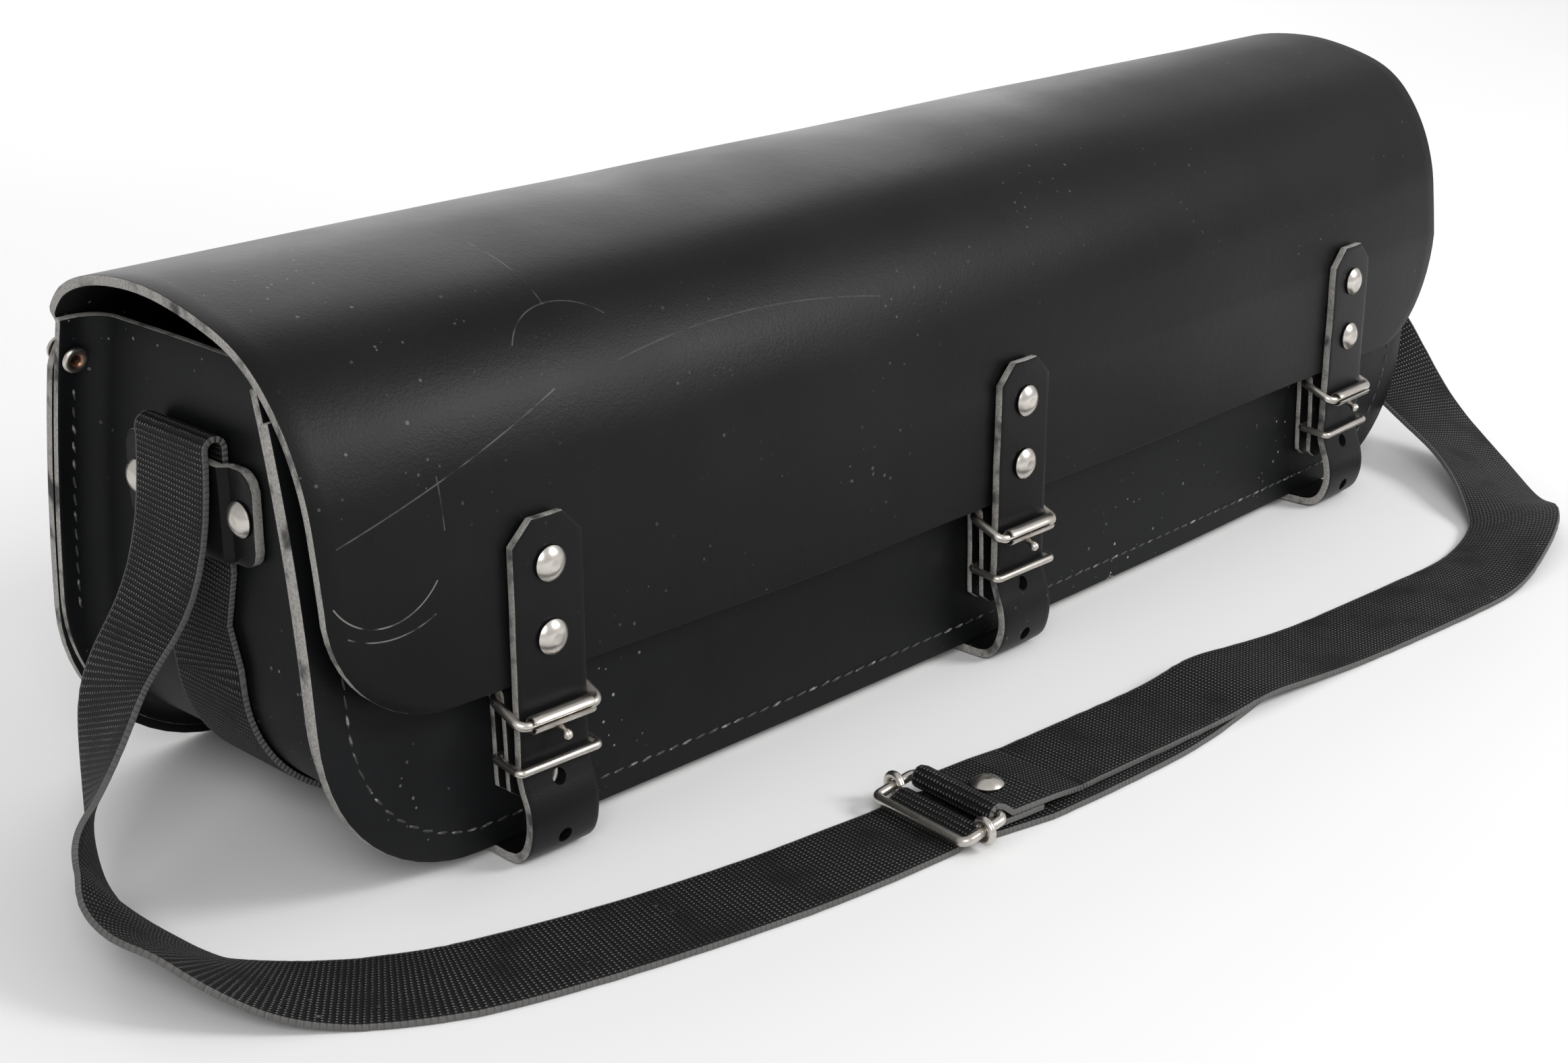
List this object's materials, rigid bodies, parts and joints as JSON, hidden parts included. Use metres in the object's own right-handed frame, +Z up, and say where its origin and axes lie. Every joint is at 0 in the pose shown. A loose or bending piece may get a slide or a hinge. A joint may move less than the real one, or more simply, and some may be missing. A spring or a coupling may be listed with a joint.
{
  "type": "long leather tool bag with flap, buckled closures and carrying strap",
  "caption": "Long black leather tool bag with a wraparound flap, buckled strap closures in front and a ribbed webbing carrying strap with a wire slider.",
  "frame": {"origin": "on the surface that it stands on, below the middle of the whole with its carrying strap as laid", "axes": "+X along the bag to its right end as seen from its front, +Y from the front to the back, +Z up"},
  "size_m": [0.6494, 0.2408, 0.169],
  "materials": {
    "leather": "smooth, semi-gloss black",
    "webbing": "ribbed woven, dark grey",
    "nickel": "satin nickel plate"
  },
  "bodies": {
    "root": {"back_and_flap": "leather", "bridge_rivet_left_back": "nickel", "bridge_rivet_left_front": "nickel", "bridge_rivet_right_back": "nickel", "bridge_rivet_right_front": "nickel", "buckle_frame_left": "nickel", "buckle_frame_middle": "nickel", "buckle_frame_right": "nickel", "buckle_prong_left": "nickel", "buckle_prong_middle": "nickel", "buckle_prong_right": "nickel", "buckle_roller_left": "nickel", "buckle_roller_middle": "nickel", "buckle_roller_right": "nickel", "carrying_strap": "webbing", "chape_left": "leather", "chape_middle": "leather", "chape_right": "leather", "chape_rivet_left_lower": "nickel", "chape_rivet_left_upper": "nickel", "chape_rivet_middle_lower": "nickel", "chape_rivet_middle_upper": "nickel", "chape_rivet_right_lower": "nickel", "chape_rivet_right_upper": "nickel", "closure_rivet_left_lower": "nickel", "closure_rivet_left_upper": "nickel", "closure_rivet_middle_lower": "nickel", "closure_rivet_middle_upper": "nickel", "closure_rivet_right_lower": "nickel", "closure_rivet_right_upper": "nickel", "closure_strap_left": "leather", "closure_strap_middle": "leather", "closure_strap_right": "leather", "corner_rivet_left": "nickel", "corner_rivet_right": "nickel", "front_panel": "leather", "gusset": "leather", "slider_bar": "nickel", "slider_frame": "nickel", "strap_bridge_left": "leather", "strap_bridge_right": "leather", "strap_keeper_left": "nickel", "strap_keeper_middle": "nickel", "strap_keeper_right": "nickel", "webbing_rivet": "nickel"}
  },
  "joints": []
}
